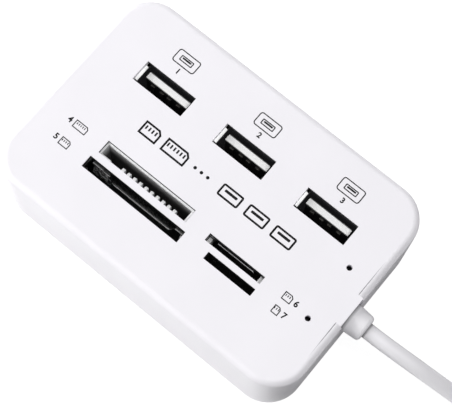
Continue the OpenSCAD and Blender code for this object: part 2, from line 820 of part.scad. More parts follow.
module plug_grip() {
    e = 1.2;
    mid = nose_l + grip_l / 2;
    shell_w = plug_w + 0.02;
    color(white)
    in_plug() difference() {
        union() {
            translate([mid, 0, -grip_t / 2]) rounded_block(grip_l, grip_w, 2.4, grip_t, e, true);
            // Tapered nose with three grooves
            rotate([0, 90, 0]) rotate_extrude($fn = round_fn) polygon([
                [0, 0], [nose_d / 2, 0], [nose_d / 2 + 0.2, 1],
                [nose_d / 2 - 0.2, 1.2], [nose_d / 2 - 0.1, 2],
                [nose_d / 2 + 0.5, 2.2], [nose_d / 2 + 0.6, 3.2],
                [nose_d / 2 + 0.1, 3.4], [nose_d / 2 + 0.2, 4.2], [nose_d / 2 + 0.9, 4.4],
                [grip_t / 2 - 0.4, nose_l], [grip_t / 2 - 0.4, nose_l + 1.5], [0, nose_l + 1.5]
            ]);
        }
        // Finger ribs on both broad faces
        for (s = [-1, 1], k = [-2:2])
            translate([mid + k * 2.4, 0, s * (grip_t / 2 + 0.5)]) rotate([90, 0, 0])
                cylinder(r = 0.9, h = grip_w * 0.55, center = true, $fn = 24);
        // Seat of the metal shell
        translate([plug_seat, -shell_w / 2, -plug_t / 2 - 0.01]) cube([seat_l + 1, shell_w, plug_t + 0.02]);
    }
}

module plug_shell() {
    color(steel)
    in_plug() difference() {
        translate([plug_seat, 0, 0]) rotate([90, 0, 90])
            sheet_tube(plug_w - 2 * plug_sheet, plug_t - 2 * plug_sheet, plug_l + seat_l, plug_sheet, 0.3);
        // Two catch windows in each broad face
        for (sy = [-1, 1])
            translate([grip_end + 6.4, sy * 2.6, 0]) cube([2.6, 2.2, plug_t + 2], center = true);
    }
}

module plug_insulator() {
    half_w = plug_w / 2 - plug_sheet - 0.1;
    half_t = plug_t / 2 - plug_sheet - 0.1;
    color(pale)
    in_plug() span(plug_seat, grip_end + plug_l - 0.5, -half_w, half_w, -half_t, -0.1);
}

module plug_contacts() {
    color(gold)
    in_plug()
        for (y = [-3.5, -1, 1, 3.5])
            span(grip_end + 2, grip_end + plug_l - (abs(y) > 2 ? 1.4 : 2.4), y - 0.5, y + 0.5, -0.1, 0.1);
}

top_shell();
bottom_cover();
cover_screw(-1, -1);  // cover_screw_1
cover_screw(1, -1);  // cover_screw_2
cover_screw(1, 1);  // cover_screw_3
cover_screw(-1, 1);  // cover_screw_4
main_board();
card_board();
for (i = [1:3]) usb_shell(i);
for (i = [1:3]) usb_tongue(i);
for (i = [1:3]) usb_contacts(i);
sd_shell();
sd_base();
sd_guide();
sd_slider();
sd_contacts();
ms_body();
ms_contacts();
m2_shell();
m2_base();
m2_contacts();
microsd_shell();
microsd_base();
microsd_contacts();
hub_chip();
reader_chip();
crystal();
capacitor(16, -2);  // capacitor_1
capacitor(16, 3.5);  // capacitor_2
led(1);  // led_1
led(-1);  // led_2
cord_collar();
cord_stub();
for (k = [0:3]) wire(k);
cord_tube();
cord_coil();
cord_tail();
plug_grip();
plug_shell();
plug_insulator();
plug_contacts();
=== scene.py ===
"""Dresses a white desktop hub, with three upright ports and four card slots, for its picture."""

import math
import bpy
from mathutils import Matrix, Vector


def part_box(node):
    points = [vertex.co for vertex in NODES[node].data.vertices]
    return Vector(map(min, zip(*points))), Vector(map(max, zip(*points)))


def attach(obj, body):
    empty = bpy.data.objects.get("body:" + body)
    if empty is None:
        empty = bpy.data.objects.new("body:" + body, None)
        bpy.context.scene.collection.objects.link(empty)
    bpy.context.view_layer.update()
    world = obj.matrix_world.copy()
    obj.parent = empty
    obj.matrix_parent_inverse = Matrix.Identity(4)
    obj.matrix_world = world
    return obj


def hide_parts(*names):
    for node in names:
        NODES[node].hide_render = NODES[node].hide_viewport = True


bl_info = {
    "name": "Desktop hub with card slots",
    "version": (1, 0, 0),
    "blender": (4, 5, 0),
    "location": "View3D > Sidebar > Hub",
    "description": "Builds the finishes, print and cord of a small desktop hub round its solids",
    "category": "Object",
}

import bpy
from bpy.props import FloatProperty, FloatVectorProperty, IntProperty, PointerProperty
from mathutils import Vector

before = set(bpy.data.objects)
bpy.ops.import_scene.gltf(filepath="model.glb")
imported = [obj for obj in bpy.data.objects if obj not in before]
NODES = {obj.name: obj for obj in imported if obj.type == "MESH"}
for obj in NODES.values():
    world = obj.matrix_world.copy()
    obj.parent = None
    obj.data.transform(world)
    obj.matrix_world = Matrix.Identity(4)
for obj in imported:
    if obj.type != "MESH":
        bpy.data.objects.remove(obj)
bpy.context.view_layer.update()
MM = 0.001

# The housing's far corner, its top face, and the numbers of the ports
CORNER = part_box("top_shell")[1]
TOP = CORNER.z
PORTS = (1, 2, 3)

# The underside of the printed ink, a hair below the top face
INK_BASE = TOP - 0.004 * MM

# Painted shade: colour of a narrow socket where no light reaches it
UNLIT = (0.01, 0.01, 0.011)

# Route of the cord in millimetres: from the collar down to the coil, and from the coil to the plug
ROUTE = [
    (42.5, -2.2, 17.8), (44.2, -2.2, 17.8), (47, -2.15, 17.8), (51, -1.9, 17.4), (56, -1.35, 16.2),
    (61, -0.6, 14.1), (66, 0.3, 11.3), (70.5, 1.05, 8.4), (73.8, 1.5, 6.2),
    (75.5, 1.2, 4.6), (77.2, 1.0, 3.1), (79.3, 1.2, 2.1), (81.6, 1.9, 1.8),
]
TAIL = [
    (86.5, 2.45, 5.25), (89, 2.2, 5.15), (91, 1.8, 5.05),
    (93.2, 1.2, 4.9), (94.8, 0.4, 4.6), (96.8, -0.7, 4.3), (98.9, -2, 4.05), (100.9, -3.25, 4),
]
COIL_AT = (84, 21.75)

# Where along the coil the cord moves in, climbs and moves out, and over what angle, in degrees
MOVES_IN = (300, 60)
CLIMBS = (680, 80)
MOVES_OUT = (1080, 60)

# The bow inside the ring: where it is deepest and how far it runs either way, in degrees, and its depth
# as a share of the cord's diameter
BOW_AT, BOW_RUN, BOW_DEPTH = 720, 70, 0.88

# Port marks, in millimetres: the middle one's place, and the step from one to the next
PORT_MARKS_AT, PORT_MARK_STEP = (0.84, 18.05), 22.26

# Card marks: number, and in millimetres place and length
CARD_MARKS = (
    (4, -28.9, -7.6, 3.4),
    (5, -29.2, -12.3, 2.5),
    (6, 27.2, -8.2, 2.2),
    (7, 27.0, -11.7, 1.7),
)

# The large printed row, in millimetres: each card's middle and length, and the dots' and sockets' middles
ROW_CARDS = ((-17, 4.6), (-10.2, 6.2))
ROW_DOTS = (-4.9, -3.2, -1.5)
ROW_SOCKETS = (4.6, 11.6, 18.6)

# Camera: where it stands in metres, how it is turned in degrees, and its lens in millimetres
CAMERA_AT = (0.050383, -0.070100, 0.305173)
CAMERA_TURN = (16.2455, -1.7942, 39.4238)
CAMERA_LENS = 113.737

# Lamps: name, place, size and power
LAMPS = (
    ("top lamp", (0, 0.05, 0.8), 0.35, 0.4),
    ("end lamp", (0.36, 0, 0.75), 0.25, 1.7),
    ("side lamp", (-0.5, 0.1, 0.35), 0.3, 1.7),
    ("front lamp", (-0.4, -0.5, 0.15), 0.4, 2.75),
)


class HubSizes(bpy.types.PropertyGroup):
    """Sizes of what is added round the solids."""

    cord_diameter: FloatProperty(
        name="Cord diameter", description="Diameter of the cord's sheath",
        default=3.5 * MM, min=2 * MM, max=5 * MM, unit="LENGTH", precision=5)
    coil_radius: FloatProperty(
        name="Coil radius", description="Radius of the coil at the middle of its four turns",
        default=17.5 * MM, min=15 * MM, max=20 * MM, unit="LENGTH", precision=5)
    turn_points: IntProperty(
        name="Points per turn", description="Points of the cord's curve in each turn of the coil",
        default=24, min=12, max=48)
    tie_width: FloatProperty(
        name="Tie width", description="Width of the twist tie that holds the coil",
        default=2.6 * MM, min=1 * MM, max=5 * MM, unit="LENGTH", precision=5)
    mark_length: FloatProperty(
        name="Mark length", description="Length of the printed frame above each port",
        default=5.85 * MM, min=3 * MM, max=8 * MM, unit="LENGTH", precision=5)
    mark_width: FloatProperty(
        name="Mark width", description="Width of the printed frame above each port",
        default=3.35 * MM, min=2 * MM, max=5 * MM, unit="LENGTH", precision=5)
    line_width: FloatProperty(
        name="Line width", description="Width of the printed lines",
        default=0.24 * MM, min=0.05 * MM, max=0.5 * MM, unit="LENGTH", precision=5)
    bold_width: FloatProperty(
        name="Bold width", description="Width of the lines of the large printed row",
        default=0.45 * MM, min=0.1 * MM, max=1 * MM, unit="LENGTH", precision=5)
    # Reach of the painted dark reflection along the top edge
    seam_reach: FloatProperty(
        name="Reflection reach", description="How far the line at the cord end runs from the cord's middle",
        default=13 * MM, min=5 * MM, max=16 * MM, unit="LENGTH", precision=5)
    ink_height: FloatProperty(
        name="Ink height", description="How far the printed ink stands on the plastic",
        default=0.015 * MM, min=0.005 * MM, max=0.1 * MM, unit="LENGTH", precision=6)
    grain_size: FloatProperty(
        name="Grain size", description="Size of the fine grain moulded in the housing",
        default=0.22 * MM, min=0.05 * MM, max=1 * MM, unit="LENGTH", precision=5)


def colour_property(name, description, default):
    """A colour of one finish, as a user sets it."""
    return FloatVectorProperty(
        name=name, description=description, default=default, size=3, min=0, max=1, subtype="COLOR")


class HubColours(bpy.types.PropertyGroup):
    """Colours of the finishes, as linear values."""

    housing: colour_property("Housing", "White plastic of the housing", (0.87, 0.855, 0.895))
    cover: colour_property("Cover", "White plastic of the bottom cover", (0.8, 0.8, 0.82))
    cord: colour_property("Cord", "Sheath of the cord", (0.84, 0.83, 0.86))
    collar: colour_property("Collar", "Moulded collar of the cord", (0.84, 0.83, 0.86))
    sheet: colour_property("Sheet", "Plated sheet of the sockets", (0.8, 0.8, 0.82))
    gilt: colour_property("Gilt", "Contact strips", (0.36, 0.3, 0.2))
    tongue: colour_property("Tongue", "White insulators of the ports", (0.97, 0.97, 0.97))
    comb: colour_property("Comb", "White body of the stick card slot", (0.82, 0.82, 0.83))
    dark: colour_property("Dark plastic", "Black insulators and chips", (0.012, 0.012, 0.014))
    board: colour_property("Board", "Solder mask of the boards", (0.01, 0.09, 0.035))
    ink: colour_property("Ink", "Printed marks", (0.004, 0.004, 0.005))
    # Near-black lamp colour that stands in for the shade in the lamp holes
    lamp: colour_property("Lamp", "Smoky plastic of the lamps", (0.03, 0.03, 0.035))
    tie: colour_property("Tie", "Coating of the twist tie", (0.75, 0.75, 0.76))


# Building blocks of the finishes

def new_finish(name, colour, roughness, metallic=0.0, **others):
    """A material with its shader's constants set; returns it, its tree and its shader."""
    material = bpy.data.materials.new(name)
    material.use_nodes = True
    shader = material.node_tree.nodes["Principled BSDF"]
    shader.inputs["Base Color"].default_value = (*colour, 1)
    shader.inputs["Roughness"].default_value = roughness
    shader.inputs["Metallic"].default_value = metallic
    for socket, value in others.items():
        shader.inputs[socket.replace("_", " ")].default_value = value
    return material, material.node_tree, shader


def add_noise(tree, size, detail=2.0, stretch=(1, 1, 1)):
    """Noise on Object coordinates with spots about size across; a stretch below 1 draws them out."""
    place = tree.nodes.new("ShaderNodeTexCoord")
    turn = tree.nodes.new("ShaderNodeMapping")
    turn.inputs["Scale"].default_value = stretch
    noise = tree.nodes.new("ShaderNodeTexNoise")
    noise.inputs["Scale"].default_value = 1 / size
    noise.inputs["Detail"].default_value = detail
    tree.links.new(place.outputs["Object"], turn.inputs["Vector"])
    tree.links.new(turn.outputs["Vector"], noise.inputs["Vector"])
    return noise.outputs["Fac"]


def spread(tree, value, low, high, source=(0.3, 0.7)):
    """Maps a texture's value from source to low..high."""
    node = tree.nodes.new("ShaderNodeMapRange")
    node.inputs["From Min"].default_value, node.inputs["From Max"].default_value = source
    node.inputs["To Min"].default_value, node.inputs["To Max"].default_value = low, high
    tree.links.new(value, node.inputs["Value"])
    return node.outputs["Result"]


def tint(tree, shader, value, first, second):
    """Base colour that goes from first to second with a texture's value."""
    mix = tree.nodes.new("ShaderNodeMix")
    mix.data_type = "RGBA"
    mix.inputs["A"].default_value = (*first, 1)
    mix.inputs["B"].default_value = (*second, 1)
    tree.links.new(value, mix.inputs["Factor"])
    tree.links.new(mix.outputs["Result"], shader.inputs["Base Color"])


def bump(tree, shader, value, height):
    """Relief of a given height from a texture's value."""
    node = tree.nodes.new("ShaderNodeBump")
    node.inputs["Strength"].default_value = 1.0
    node.inputs["Distance"].default_value = height
    tree.links.new(value, node.inputs["Height"])
    if shader.inputs["Normal"].links:
        tree.links.new(shader.inputs["Normal"].links[0].from_socket, node.inputs["Normal"])
    tree.links.new(node.outputs["Normal"], shader.inputs["Normal"])


def axes_of(tree, source="Object"):
    """X, Y and Z of Object coordinates, or of another output of the Texture Coordinate node."""
    place = tree.nodes.new("ShaderNodeTexCoord")
    axes = tree.nodes.new("ShaderNodeSeparateXYZ")
    tree.links.new(place.outputs[source], axes.inputs["Vector"])
    return axes.outputs


def math_of(tree, operation, first, second=0.0):
    """A sum, product or the like of two values, each of them the output of a node or a number."""
    node = tree.nodes.new("ShaderNodeMath")
    node.operation = operation
    for value, entry in zip((first, second), node.inputs):
        if isinstance(value, bpy.types.NodeSocket):
            tree.links.new(value, entry)
        else:
            entry.default_value = value
    return node.outputs["Value"]


def multiply(tree, product, *others):
    """Product of two or more values."""
    for other in others:
        product = math_of(tree, "MULTIPLY", product, other)
    return product


def distance_from(tree, value, middle):
    """Distance of a value from a middle."""
    return math_of(tree, "ABSOLUTE", math_of(tree, "SUBTRACT", value, middle))


def near(tree, axis, places, reach):
    """Goes from 1 near some places along an axis to 0 far off, and falls over the span of reach."""
    along = axes_of(tree)[axis]
    share = None
    for middle in places:
        one = spread(tree, distance_from(tree, along, middle), 1, 0, reach)
        share = one if share is None else math_of(tree, "MAXIMUM", share, one)
    return share


def paint_over(material, share, colour):
    """Covers a finish with another colour, as far as a share from 0 to 1 says."""
    tree = material.node_tree
    shader = tree.nodes["Principled BSDF"]
    under = shader.inputs["Base Color"].links[0].from_socket
    mix = tree.nodes.new("ShaderNodeMix")
    mix.data_type = "RGBA"
    mix.inputs["B"].default_value = (*colour, 1)
    tree.links.new(share, mix.inputs["Factor"])
    tree.links.new(under, mix.inputs["A"])
    tree.links.new(mix.outputs["Result"], shader.inputs["Base Color"])
    return material


def keep_where(material, share, dark=UNLIT):
    """Paints shade on a finish wherever a share goes to 0."""
    return paint_over(material, spread(material.node_tree, share, 1, 0, (0, 1)), dark)


def fade_down(material, low, high, dark=UNLIT):
    """Paints shade on a finish from height high down to height low, as where light fails deep in a narrow
    socket.
    """
    tree = material.node_tree
    return paint_over(material, spread(tree, axes_of(tree)["Z"], 1, 0, (low, high)), dark)


def top_span(name, axis):
    """Low and high end of a piece's top face along an axis."""
    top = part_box(name)[1].z
    reach = [v.co[axis] for v in NODES[name].data.vertices if v.co.z > top - 0.05 * MM]
    return min(reach), max(reach)


def shade_of(colour, share):
    """A colour made darker or paler."""
    return tuple(min(1.0, c * share) for c in colour)


def give(material, *names):
    """Puts a material on CAD nodes."""
    for name in names:
        slots = NODES[name].data.materials
        slots.clear()
        slots.append(material)


# Finishes

def moulded_plastic(name, colour, grain, roughness=0.4, depth=0.004 * MM, gloss=0.4):
    """Satin moulded plastic: fine grain, faint clouds of colour and patches of more and less shine."""
    material, tree, shader = new_finish(name, colour, roughness, Specular_IOR_Level=gloss)
    clouds = add_noise(tree, 16 * MM, 3)
    tint(tree, shader, spread(tree, clouds, 0, 1), shade_of(colour, 0.985), shade_of(colour, 1.01))
    patches = add_noise(tree, 5 * MM, 4)
    tree.links.new(spread(tree, patches, roughness - 0.05, roughness + 0.06), shader.inputs["Roughness"])
    bump(tree, shader, add_noise(tree, grain, 3), depth)
    bump(tree, shader, add_noise(tree, 12 * MM, 1), 0.02 * MM)
    return material


def plated_sheet(name, colour, roughness=0.28, along=(1, 1, 0.06), metallic=1.0):
    """Plated steel sheet with fine draw lines and dull patches."""
    material, tree, shader = new_finish(name, colour, roughness, metallic)
    lines = add_noise(tree, 0.12 * MM, 2, along)
    patches = add_noise(tree, 1.6 * MM, 3)
    tint(tree, shader, spread(tree, patches, 0, 1), shade_of(colour, 0.8), shade_of(colour, 1.12))
    tree.links.new(spread(tree, lines, roughness - 0.08, roughness + 0.12), shader.inputs["Roughness"])
    bump(tree, shader, lines, 0.002 * MM)
    return material


def gilt_strip(name, colour):
    """Gold flashed strip with light scratches and duller worn spots."""
    material, tree, shader = new_finish(name, colour, 0.25, 1.0)
    worn = add_noise(tree, 0.7 * MM, 4)
    tint(tree, shader, spread(tree, worn, 0, 1), shade_of(colour, 0.75), shade_of(colour, 1.15))
    highlight_streaks = add_noise(tree, 0.05 * MM, 1, (1, 1, 0.04))
    tree.links.new(spread(tree, highlight_streaks, 0.18, 0.4), shader.inputs["Roughness"])
    return material


def solder_mask(name, colour):
    """Green board with copper tracks that show as paler lines through the mask."""
    material, tree, shader = new_finish(name, colour, 0.3)
    place = tree.nodes.new("ShaderNodeTexCoord")
    tracks = tree.nodes.new("ShaderNodeTexBrick")
    tracks.inputs["Scale"].default_value = 1 / (4 * MM)
    tracks.inputs["Mortar Size"].default_value = 0.035
    tracks.inputs["Color1"].default_value = (*shade_of(colour, 0.9), 1)
    tracks.inputs["Color2"].default_value = (*shade_of(colour, 1.1), 1)
    tracks.inputs["Mortar"].default_value = (*shade_of(colour, 2.2), 1)
    tree.links.new(place.outputs["Object"], tracks.inputs["Vector"])
    tree.links.new(tracks.outputs["Color"], shader.inputs["Base Color"])
    bump(tree, shader, tracks.outputs["Fac"], 0.02 * MM)
    return material


def soft_sheath(name, colour, roughness=0.42):
    """Soft vinyl: satin, with slight waves and a very fine skin."""
    material, tree, shader = new_finish(name, colour, roughness, Specular_IOR_Level=0.45)
    clouds = add_noise(tree, 7 * MM, 3)
    tint(tree, shader, spread(tree, clouds, 0, 1), shade_of(colour, 0.965), shade_of(colour, 1.02))
    skin = add_noise(tree, 0.15 * MM, 2)
    tree.links.new(spread(tree, skin, roughness - 0.06, roughness + 0.08), shader.inputs["Roughness"])
    bump(tree, shader, skin, 0.004 * MM)
    bump(tree, shader, add_noise(tree, 3.5 * MM, 1), 0.03 * MM)
    return material


def smoky_lamp(name, colour):
    """Partly clear plastic of a small lamp, near black: its dark colour stands in for the shade in the lamp
    hole.
    """
    material, tree, shader = new_finish(name, colour, 0.15, Transmission_Weight=0.4, IOR=1.5)
    tree.links.new(spread(tree, add_noise(tree, 0.5 * MM), 0.1, 0.25), shader.inputs["Roughness"])
    return material


def printed_ink(name, colour):
    """Matt printing ink with a slightly uneven film."""
    material, tree, shader = new_finish(name, colour, 0.5, Specular_IOR_Level=0.12)
    film = add_noise(tree, 0.25 * MM, 3)
    tint(tree, shader, spread(tree, film, 0, 1), colour, tuple(c + 0.012 for c in colour))
    tree.links.new(spread(tree, film, 0.42, 0.6), shader.inputs["Roughness"])
    return material


# Modelling helpers

def clear_selection():
    """Leaves edit mode and deselects everything."""
    if bpy.context.object and bpy.context.object.mode != "OBJECT":
        bpy.ops.object.mode_set(mode="OBJECT")
    bpy.ops.object.select_all(action="DESELECT")


def settle(piece, name, material=None):
    """Names a piece, moves its place into its mesh and makes it ride on the hub."""
    clear_selection()
    piece.select_set(True)
    bpy.context.view_layer.objects.active = piece
    bpy.ops.object.transform_apply(location=True, rotation=True, scale=True)
    piece.name = name
    piece.data.name = name
    if material:
        piece.data.materials.clear()
        piece.data.materials.append(material)
    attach(piece, "root")
    clear_selection()
    return piece


def join(pieces):
    """Joins pieces into the first one."""
    clear_selection()
    for piece in pieces:
        piece.select_set(True)
    bpy.context.view_layer.objects.active = pieces[0]
    bpy.ops.object.join()
    return pieces[0]


# Cord

def ease(share):
    """Smooth step from 0 to 1."""
    share = min(max(share, 0.0), 1.0)
    return share * share * (3 - 2 * share)


def coil_point(angle, radius, pitch):
    """Centre of the cord at an angle along its four turns, in millimetres, counted from where it enters.

    Two turns lie on the surface, the outer one first, and two lie on them, the inner one first. The cord
    moves in before it comes round to its own start, climbs in a bow inside the ring, and moves out after it
    passes under the end that leaves.
    """
    moves = (MOVES_IN, CLIMBS, MOVES_OUT)
    moved_in, climbed, moved_out = (ease((angle - start) / run) for start, run in moves)
    bow = 0.5 + 0.5 * math.cos(math.pi * min(1.0, abs(angle - BOW_AT) / BOW_RUN))
    r = radius + pitch * (0.5 - moved_in + moved_out - BOW_DEPTH * bow)
    z = pitch * (0.5 + climbed)
    turn = math.radians(angle - 90)
    return (COIL_AT[0] + r * math.cos(turn), COIL_AT[1] + r * math.sin(turn), z)


def cord_points(sizes):
    """The cord's whole route in millimetres."""
    pitch = sizes.cord_diameter / MM
    radius = sizes.coil_radius / MM
    step = 360 / sizes.turn_points
    turns = [coil_point(k * step, radius, pitch) for k in range(4 * sizes.turn_points + 1)]
    return ROUTE + turns + TAIL


class HUB_OT_cord(bpy.types.Operator):
    """Lay the cord from the collar to its plug, coiled and tied"""

    bl_idname = "hub.cord"
    bl_label = "Cord"

    def execute(self, context):
        sizes, colours = context.scene.hub_sizes, context.scene.hub_colours
        data = bpy.data.curves.new("cord", "CURVE")
        data.dimensions = "3D"
        data.bevel_depth = sizes.cord_diameter / 2
        data.bevel_resolution = 8
        data.resolution_u = 6
        data.use_fill_caps = True
        points = cord_points(sizes)
        spline = data.splines.new("BEZIER")
        spline.bezier_points.add(len(points) - 1)
        for knot, point in zip(spline.bezier_points, points):
            knot.co = Vector(point) * MM
            knot.handle_left_type = knot.handle_right_type = "AUTO"
        cord = bpy.data.objects.new("cord", data)
        context.scene.collection.objects.link(cord)
        sheath = soft_sheath("cord sheath", colours.cord)
        data.materials.append(sheath)
        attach(cord, "root")
        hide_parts("cord_tube", "cord_coil", "cord_tail")
        context.view_layer.update()
        print("cord length", round(spline.calc_length(), 4))
        tie = self.add_tie(context, sizes, colours)
        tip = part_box("cord_collar")[1].x
        self.shade_gap(sheath, tip, (0.25 * MM, 0.6 * MM), shade_of(colours.cord, 0.4))
        collar = soft_sheath("collar rubber", colours.collar, 0.4)
        self.shade_gap(collar, CORNER.x - 0.25 * MM, (0, 0.7 * MM), shade_of(colours.collar, 0.33))
        give(collar, "cord_collar")
        return {"FINISHED"}

    def shade_gap(self, material, x, reach, dark):
        """Darkens a finish in the gap at a place along X; the shade thins over the span of reach."""
        paint_over(material, near(material.node_tree, "X", [x], reach), dark)

    def add_tie(self, context, sizes, colours):
        """A flat band round the four strands, with its two ends twisted together inside the ring."""
        clear_selection()
        strands = 2 * sizes.cord_diameter
        thickness = 0.35 * MM
        slack = 0.2 * MM
        middle = Vector((COIL_AT[0] * MM, COIL_AT[1] * MM + sizes.coil_radius, (strands + thickness) / 2))
        bpy.ops.mesh.primitive_cube_add(size=1, location=middle)
        band = context.object
        band.scale = (sizes.tie_width, strands + slack, strands)
        bpy.ops.object.transform_apply(location=True, rotation=True, scale=True)
        bpy.ops.object.mode_set(mode="EDIT")
        bpy.ops.mesh.select_mode(type="FACE")
        bpy.ops.mesh.select_all(action="DESELECT")
        bpy.ops.object.mode_set(mode="OBJECT")
        for face in band.data.polygons:
            face.select = abs(face.normal.x) > 0.9
        bpy.ops.object.mode_set(mode="EDIT")
        bpy.ops.mesh.delete(type="FACE")
        bpy.ops.mesh.select_all(action="DESELECT")
        bpy.ops.object.mode_set(mode="OBJECT")
        for edge in band.data.edges:
            a, b = (band.data.vertices[v].co for v in edge.vertices)
            edge.select = abs(a.x - b.x) > 0.5 * sizes.tie_width
        bpy.ops.object.mode_set(mode="EDIT")
        bpy.ops.mesh.select_mode(type="EDGE")
        bpy.ops.mesh.bevel(offset=sizes.cord_diameter / 2, segments=6, affect="EDGES")
        bpy.ops.object.mode_set(mode="OBJECT")
        ends = self.add_twisted_ends(context, sizes, middle - Vector((0, strands / 2 + slack, 0)))
        tie = join([band, ends])
        wall = tie.modifiers.new("wall", "SOLIDIFY")
        wall.thickness = thickness
        wall.offset = 0
        bpy.ops.object.modifier_apply(modifier=wall.name)
        edge = tie.modifiers.new("edge", "BEVEL")
        edge.width = 0.1 * MM
        edge.segments = 2
        bpy.ops.object.modifier_apply(modifier=edge.name)
        settle(tie, "coil_tie", soft_sheath("tie coating", colours.tie))
        return tie

    def add_twisted_ends(self, context, sizes, start):
        """A ribbon that is extruded inwards and turned a little at each step."""
        clear_selection()
        steps, step_length, step_turn = 14, 0.55 * MM, math.radians(32)
        bpy.ops.mesh.primitive_plane_add(size=1, location=start)
        ribbon = context.object
        ribbon.scale = (sizes.tie_width * 0.8, 0.4 * MM, 1)
        bpy.ops.object.transform_apply(location=True, rotation=True, scale=True)
        bpy.ops.object.mode_set(mode="EDIT")
        bpy.ops.mesh.select_mode(type="EDGE")
        bpy.ops.mesh.select_all(action="DESELECT")
        bpy.ops.object.mode_set(mode="OBJECT")
        inner = min(v.co.y for v in ribbon.data.vertices)
        for edge in ribbon.data.edges:
            edge.select = all(ribbon.data.vertices[v].co.y < inner + 1e-6 for v in edge.vertices)
        bpy.ops.object.mode_set(mode="EDIT")
        for _ in range(steps):
            inner -= step_length
            bpy.ops.mesh.extrude_region_move(TRANSFORM_OT_translate={"value": (0, -step_length, 0)})
            bpy.ops.transform.rotate(
                value=step_turn, orient_axis="Y", center_override=(start.x, inner, start.z))
        bpy.ops.object.mode_set(mode="OBJECT")
        return ribbon


# Housing and what is in it

class HUB_OT_housing(bpy.types.Operator):
    """Finish the housing, its cover and its screws"""

    bl_idname = "hub.housing"
    bl_label = "Housing"

    def execute(self, context):
        sizes, colours = context.scene.hub_sizes, context.scene.hub_colours
        white = moulded_plastic("housing plastic", colours.housing, sizes.grain_size)
        self.draw_seam(white, sizes.seam_reach)
        self.darken_inside(white)
        give(white, "top_shell")
        give(moulded_plastic("cover plastic", colours.cover, sizes.grain_size, 0.48), "bottom_cover")
        steel = plated_sheet("screw steel", (0.5, 0.5, 0.52), 0.3, (1, 1, 1))
        give(steel, *[f"cover_screw_{i}" for i in (1, 2, 3, 4)])
        return {"FINISHED"}

    def darken_inside(self, material):
        """Painted shade: darkens the openings' walls, but not the ports' walls at the far end or the lamp
        holes' rims.
        """
        tree = material.node_tree
        axes, normal = axes_of(tree), axes_of(tree, "Normal")
        across = distance_from(tree, axes["X"], 0)
        along = distance_from(tree, axes["Y"], 0)

        # Nothing within this margin of the outer faces is darkened
        outer, inner = 3.9 * MM, 4.2 * MM
        in_length = spread(tree, across, 1, 0, (CORNER.x - inner, CORNER.x - outer))
        in_width = spread(tree, along, 1, 0, (CORNER.y - inner, CORNER.y - outer))

        # The painted shade starts just below the top face, and further down in the lamp holes
        lamp, rim_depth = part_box("led_1")[0].x, 0.9 * MM
        rim = spread(tree, across, 0, rim_depth, (lamp - 0.6 * MM, lamp - 0.1 * MM))
        height = math_of(tree, "ADD", axes["Z"], rim)
        below = spread(tree, height, 1, 0, (TOP - 0.35 * MM, TOP - 0.1 * MM))

        at_ports = spread(tree, axes["Y"], 0, 1, (1 * MM, 2 * MM))
        far_wall = spread(tree, normal["X"], 0, 1, (0.5, 0.8))
        rest = spread(tree, multiply(tree, at_ports, far_wall), 1, 0, (0, 1))
        paint_over(material, multiply(tree, in_length, in_width, below, rest), (0.03, 0.03, 0.032))

    def draw_seam(self, material, reach):
        """Painted reflection: a fine dark line along the top edge, where its rounding begins, at both sides
        of the cord's notch, fading away from it.
        """
        tree = material.node_tree
        axes = axes_of(tree)
        low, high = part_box("cord_collar")
        off_line = distance_from(tree, axes["X"], CORNER.x - 1.55 * MM)
        off_middle = distance_from(tree, axes["Y"], (low.y + high.y) / 2)
        line = spread(tree, off_line, 1, 0, (0.03 * MM, 0.12 * MM))
        faded = spread(tree, off_middle, 1, 0, (0.45 * reach, reach))
        past_notch = spread(tree, off_middle, 0, 1, (3.6 * MM, 4.0 * MM))
        on_top = spread(tree, axes["Z"], 0, 1, (TOP - 0.4 * MM, TOP - 0.2 * MM))
        paint_over(material, multiply(tree, line, faded, past_notch, on_top), (0.12, 0.12, 0.125))


class HUB_OT_ports(bpy.types.Operator):
    """Finish the three ports: sheet, tongue and contacts"""

    bl_idname = "hub.ports"
    bl_label = "Ports"

    def execute(self, context):
        colours = context.scene.hub_colours
        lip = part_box("usb_shell_1")[1].z
        plate = plated_sheet("port sheet", (0.98, 0.98, 0.98), metallic=0.1)
        far_ends = [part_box(f"usb_shell_{i}")[0].x for i in PORTS]
        # Painted shade: the sheet goes dark except close to its far ends, and below its lips; the pale part
        # then gets a painted glow
        keep_where(plate, near(plate.node_tree, "X", far_ends, (0.555 * MM, 0.855 * MM)))
        sheet = self.catch_light(fade_down(plate, lip - 0.5 * MM, lip - 0.38 * MM))

        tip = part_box("usb_tongue_1")[1].z
        low, high = top_span("usb_tongue_1", 1)
        middle, half = (low + high) / 2, (high - low) / 2
        tongue = moulded_plastic("tongue plastic", colours.tongue, 0.1 * MM, 0.35)
        # Painted shade on the tongue's long edges and further down from its tip
        keep_where(tongue, near(tongue.node_tree, "Y", [middle], (half - 0.3 * MM, half - 0.12 * MM)))
        fade_down(tongue, tip - 1.3 * MM, tip - 0.05 * MM)

        # Painted shade on the contacts, deeper down in the socket
        gilt = gilt_strip("port gilt", (0.24, 0.23, 0.21))
        fade_down(gilt, tip - 5 * MM, tip, (0.03, 0.028, 0.025))
        for i in PORTS:
            give(sheet, f"usb_shell_{i}")
            give(tongue, f"usb_tongue_{i}")
            give(gilt, f"usb_contacts_{i}")
        return {"FINISHED"}

    def catch_light(self, material):
        """Painted light: a faint glow where the sheet is pale, standing in for the light that a bent bright
        lip gathers.
        """
        tree = material.node_tree
        shader = tree.nodes["Principled BSDF"]
        tree.links.new(shader.inputs["Base Color"].links[0].from_socket, shader.inputs["Emission Color"])
        shader.inputs["Emission Strength"].default_value = 0.55
        return material


